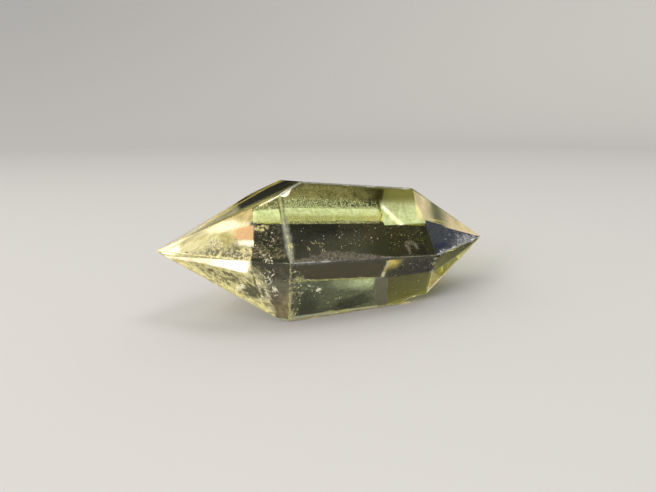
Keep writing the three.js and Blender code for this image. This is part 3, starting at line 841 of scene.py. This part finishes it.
def buildFlakes(name, cloud):
    # lens-shaped flakes strewn under a facet, whose two faces rise rise * size to their middles.
    # A rim point is centre + size * reach * (stretch * cos(angle) * along + sin(angle) * beside)
    cloud = {**plainFlakes, **cloud}
    draw = np.random.default_rng(cloud["seed"])
    count, rim = cloud["count"], flakeShape["rim"]
    place = spread(cloud["corners"], draw.random(count), draw.random(count))
    centre = layUnder(cloud["under"], place[:, 0], place[:, 1], draw.uniform(*cloud["depth"], count))
    centre = keepInside(centre, flakeShape["gap"])
    normal = stone["normals"][stone["names"][cloud["under"]]]
    level = unit(np.cross(normal, (0, 0, 1)))
    level *= np.sign(level[0])
    steep = np.cross(normal, level)
    steep *= np.sign(steep[2])
    turn = np.radians(draw.normal(cloud["turn"], cloud["scatter"], count))
    along = np.cos(turn)[:, None] * level + np.sin(turn)[:, None] * steep
    along = unit(along + draw.normal(0, flakeShape["tilt"], (count, 3)))
    beside = unit(np.cross(along, normal + draw.normal(0, flakeShape["roll"], (count, 3))))
    small, large = cloud["size"]
    size = small * (large / small) ** (draw.random(count) ** 2) * mm
    angle = np.arange(rim) * 2 * math.pi / rim
    reach = draw.uniform(*flakeShape["reach"], (count, rim)) * size[:, None]
    rise = flakeShape["rise"] * size[:, None] * np.cross(along, beside)
    points = np.empty((count, rim + 2, 3))
    points[:, :rim] = ((cloud["stretch"] * reach * np.cos(angle))[..., None] * along[:, None]
                       + (reach * np.sin(angle))[..., None] * beside[:, None])
    points[:, rim], points[:, rim + 1] = rise, -rise
    points = keepInside(points + centre[:, None], flakeShape["rimGap"])
    k = np.arange(rim)
    after = (k + 1) % rim
    faces = [np.stack([k, after, np.full(rim, rim)], 1), np.stack([after, k, np.full(rim, rim + 1)], 1)]
    faces = (np.concatenate(faces) + np.arange(count)[:, None, None] * (rim + 2)).reshape(-1, 3)
    shine = np.repeat(draw.random(count) ** cloud["dullness"], rim + 2)
    addInside(name, points, faces, flakeMaterials[cloud["finish"]], "shine", shine)


# depth and size are ranges in mm; turn and scatter are degrees from the level;
# corners are as the veils', without their cover
flakes = {
    "ridgeFlakes": dict(under="longUpperFront", finish="cream", depth=(0.15, 0.5), size=(0.04, 0.16),
        count=150, seed=1, corners=((-24, 10), (-15, 11.2), (-15.1, 10), (-24, 9.8))),
    "upperPointFlakes": dict(under="longUpperFront", finish="cream", depth=(0.2, 1.2), size=(0.05, 0.2),
        count=260, seed=2, corners=((-19, 12), (-14.4, 12.2), (-15, 10.1), (-20, 10))),
    "lowerPointFlakes": dict(under="longLowerFront", finish="cream", depth=(0.2, 1.2), size=(0.04, 0.18),
        count=260, seed=3, corners=((-21, 8.6), (-15.3, 8), (-12.8, 2.2), (-19.5, 6.4))),
    "brightFeather": dict(under="longLowerFront", finish="cream", depth=(0.12, 0.25), size=(0.06, 0.14),
        count=18, seed=4, stretch=4, turn=30, scatter=30, dullness=0.1,
        corners=((-16.8, 5.3), (-15.6, 6.2), (-15.5, 5.6), (-16.5, 4.9))),
    "shoulderFlakes": dict(under="upperShoulder", finish="cream", depth=(0.2, 1.5), size=(0.03, 0.12),
        count=90, seed=5, corners=((-14.2, 14), (-11, 14.1), (-12, 9.9), (-15, 10.1))),
    "shoulderChain": dict(under="upperShoulder", finish="cream", depth=(0.15, 1.2), size=(0.05, 0.22),
        count=30, seed=6, stretch=1.8, turn=-50, scatter=60, dullness=0.7,
        corners=((-14.3, 11.9), (-12.4, 10.4), (-12.6, 9.7), (-14.7, 10.4))),
    "lowerShoulderFeathers": dict(under="lowerShoulder", finish="cream", depth=(0.15, 1), size=(0.04, 0.14),
        count=90, seed=7, stretch=5, turn=-55, scatter=45, dullness=1,
        corners=((-14.8, 8.6), (-12.4, 7.6), (-11.2, 4.2), (-13.8, 3.8))),
    "shoulderSpray": dict(under="lowerShoulder", finish="cream", depth=(0.12, 0.5), size=(0.03, 0.13),
        count=34, seed=18, stretch=4, turn=-45, scatter=40, dullness=0.9,
        corners=((-14.6, 9.2), (-12.4, 9), (-11.2, 4.4), (-13.4, 5))),
    "shortCornerChips": dict(under="shortUpperFront", finish="white", depth=(0.08, 0.3), size=(0.04, 0.15),
        count=26, seed=20, stretch=1.5, turn=20, scatter=60, dullness=0.6,
        corners=((12.2, 8.6), (14.6, 8.6), (14.6, 7.9), (12.2, 7.9))),
    "lowerShoulderFlakes": dict(under="lowerShoulder", finish="cream", depth=(0.15, 1), size=(0.03, 0.09),
        count=80, seed=8, corners=((-15, 9.4), (-11, 9), (-10, 3), (-13.8, 3))),
    "bandSpecks": dict(under="upperFront", finish="white", depth=(0.2, 3), size=(0.03, 0.12), count=80,
        seed=9, dullness=1.2, corners=((-10, 13.6), (3, 12.6), (2.6, 9.2), (-10, 10))),
    "bandScratches": dict(under="upperFront", finish="gold", depth=(0.2, 0.6), size=(0.03, 0.05), count=14,
        seed=10, stretch=7, turn=-55, scatter=20, dullness=0.6,
        corners=((-8, 12.2), (-5.2, 11.4), (-5.6, 10.4), (-8.2, 10.8))),
    "cornerSpecks": dict(under="upperFront", finish="gold", depth=(0.2, 3), size=(0.03, 0.09), count=100,
        seed=11, corners=((4.2, 12.2), (10.6, 12), (10.6, 8.6), (4, 8.9))),
    "lowerSpecks": dict(under="lowerFront", finish="gold", depth=(0.2, 3), size=(0.035, 0.12), count=130,
        seed=12, dullness=0.8, corners=((-9.7, 8.8), (4, 7.5), (4.6, 0.6), (-9.2, 1.2))),
    "lowerBlobs": dict(under="lowerFront", finish="cream", depth=(0.2, 0.6), size=(0.06, 0.34), count=16,
        seed=21, stretch=1.8, dullness=0.8, corners=((-9.4, 6.6), (-6.4, 6), (-5.4, 3.6), (-9, 4.4))),
    "lowerScratches": dict(under="lowerFront", finish="gold", depth=(0.3, 0.8), size=(0.03, 0.05), count=22,
        seed=14, stretch=7, turn=65, scatter=25, dullness=0.8,
        corners=((-8.6, 3.4), (3.2, 3.2), (3.4, 1.2), (-8.2, 1.2))),
    "lowerEdgeFlakes": dict(under="lowerFront", finish="gold", depth=(0.15, 0.8), size=(0.03, 0.14),
        count=120, seed=15, stretch=1.5, corners=((-10.1, 8.6), (-9, 8.4), (-8, 0.6), (-9.4, 0.6))),
    "cornerFlakes": dict(under="lowerFront", finish="gold", depth=(0.2, 1), size=(0.025, 0.08), count=70,
        seed=16, corners=((4.6, 5), (11, 6), (11, 3), (6, 0.6))),
    "stripSpecks": dict(under="lowerFront", finish="gold", depth=(0.1, 0.3), size=(0.03, 0.1), count=60,
        seed=22, corners=((4.6, 8.3), (11.2, 7.9), (11, 6.2), (5, 5.6))),
    "shortPointFlakes": dict(under="shortUpperFront", finish="white", depth=(0.1, 0.4), size=(0.025, 0.09),
        count=200, seed=17, corners=((16, 11.2), (25, 7.9), (23.5, 7.6), (13, 8.2))),
}
for name, cloud in flakes.items():
    buildFlakes(name, cloud)
print("flakes strewn")


def turnedSurface(name, radii, heights, around, material):
    # a profile (radius, height) in mm, turned about the Z axis
    angle = np.arange(around) / around * 2 * math.pi
    heights = np.broadcast_to(np.asarray(heights)[:, None], (len(radii), around))
    points = np.stack([np.outer(radii, np.cos(angle)), np.outer(radii, np.sin(angle)), heights], -1)
    index = np.arange(len(radii) * around).reshape(-1, around)
    return addMesh(name, points * mm, gridQuads(np.column_stack([index, index[:, 0]])), material)


paleFloor = {
    "surface": {"Base Color": (0.74, 0.73, 0.71), "Roughness": 0.9, "Specular IOR Level": 0},
    "below": 0.03, "tableRadius": (0.01, 500), "sweepRadius": 500, "wall": 900,
    "around": 96, "bendSteps": 24,
}


def buildFloor(shape):
    # a round table top and, for the camera only, a sweep that bends up from its rim
    material = addMaterial("paleFloor", shape["surface"])
    bendRadius, level = shape["sweepRadius"], -shape["below"]
    table = turnedSurface("table", shape["tableRadius"], (level, level), shape["around"], material)
    bend = np.linspace(0, math.pi / 2, shape["bendSteps"])
    radii = shape["tableRadius"][1] + bendRadius * np.append(np.sin(bend), 1)
    heights = np.append(bendRadius * (1 - np.cos(bend)), shape["wall"]) + level
    sweep = turnedSurface("sweep", radii, heights, shape["around"], material)
    sweep.visible_diffuse = sweep.visible_glossy = sweep.visible_transmission = sweep.visible_shadow = False


buildFloor(paleFloor)

cards = {  # flat cards of even light that only the crystal sees: their sides in mm, and brightness
    "flagBehind": dict(x=(-40, 70), y=(9, 90), light=(0.022, 0.022, 0.02)),
    "flagRight": dict(x=(20, 80), y=(-14, 9), light=(0.1, 0.1, 0.07)),
}


def addCards(cards, height):
    # a card's corners are its left and right x with its near and far y, all at one height
    for name, card in cards.items():
        material = addMaterial(name, {"Base Color": (0, 0, 0), "Specular IOR Level": 0,
                                      "Emission Color": card["light"], "Emission Strength": 1})
        corners = np.array([[(x, y, height) for y in card["y"]] for x in card["x"]])
        piece = addMesh(name, corners * mm, gridQuads(np.arange(4).reshape(2, 2)), material)
        piece.visible_camera = piece.visible_shadow = piece.visible_diffuse = False


addCards(cards, height=0.3)

lights = {
    "key": dict(turn=-118, height=26, size=(260, 220), power=2.2, color=(1, 0.95, 0.87)),
    "rim": dict(turn=115, height=66, size=(200, 200), power=0.5, color=(1, 1, 1)),
}


def addLights(lamps, target, away):
    # the lamps light what is rough; polished facets see the room's zones in their place
    for name, lamp in lamps.items():
        data = bpy.data.lights.new(name, "AREA")
        data.shape = "RECTANGLE"
        data.size, data.size_y = (side * mm for side in lamp["size"])
        data.energy = lamp["power"]
        data.color = lamp["color"]
        light = bpy.data.objects.new(name, data)
        way = wayTo(lamp["turn"], lamp["height"])
        light.location = (Vector(target) + way * away) * mm
        light.rotation_euler = way.to_track_quat("Z", "Y").to_euler()
        light.visible_glossy = light.visible_transmission = False
        scene.collection.objects.link(light)


addLights(lights, target=(0, 0, 8), away=600)

studio = {
    "light": (0.45, 0.45, 0.46),
    "zones": {  # soft-edged parts of the room: middle, full and faded angle from it, brightness
        "dimFrontRight": dict(turn=122, height=43, reach=(14, 32), light=(0.05, 0.05, 0.055)),
        "dimFrontLeft": dict(turn=-155, height=47, reach=(8, 20), light=(0.2, 0.2, 0.21)),
        "frontStrip": dict(turn=172, height=53, reach=(8, 18), light=(0.75, 0.75, 0.72)),
        "leftWindow": dict(turn=-92, height=40, reach=(12, 34), light=(2.0, 1.9, 1.7)),
        "darkWall": dict(turn=20, height=-6, reach=(16, 38), light=(0.02, 0.02, 0.02)),
        "yellowCorner": dict(turn=2, height=17, reach=(5, 12), light=(0.15, 0.14, 0.02)),
        "blueDusk": dict(turn=78, height=11, reach=(8, 22), light=(0.14, 0.2, 0.42)),
    },
}


def buildWorld(room):
    # an even room with soft-edged zones:
    # light = mix(light, the zone's light, smoothstep of the angle from its middle)
    world = bpy.data.worlds.new("studio")
    world.use_nodes = True
    tree = world.node_tree
    place = tree.nodes.new("ShaderNodeTexCoord").outputs["Generated"]
    light = room["light"]
    for zone in room["zones"].values():
        nearness = tree.nodes.new("ShaderNodeVectorMath")
        nearness.operation = "DOT_PRODUCT"
        setInputs(nearness, {0: place, 1: wayTo(zone["turn"], zone["height"])})
        full, faded = (math.cos(math.radians(angle)) for angle in zone["reach"])
        share = tree.nodes.new("ShaderNodeMapRange")
        share.interpolation_type = "SMOOTHSTEP"
        setInputs(share, {"Value": nearness.outputs["Value"], "From Min": faded, "From Max": full})
        light = blendTones(tree, share.outputs["Result"], light, zone["light"])
    setInputs(tree.nodes["Background"], {"Color": light})
    scene.world = world


buildWorld(studio)
scene.cycles.max_bounces = scene.cycles.transmission_bounces = 32
scene.cycles.glossy_bounces = 24
scene.cycles.transparent_max_bounces = 64
scene.cycles.caustics_refractive = scene.cycles.caustics_reflective = False
scene.view_settings.view_transform = "Standard"
print("stage set")
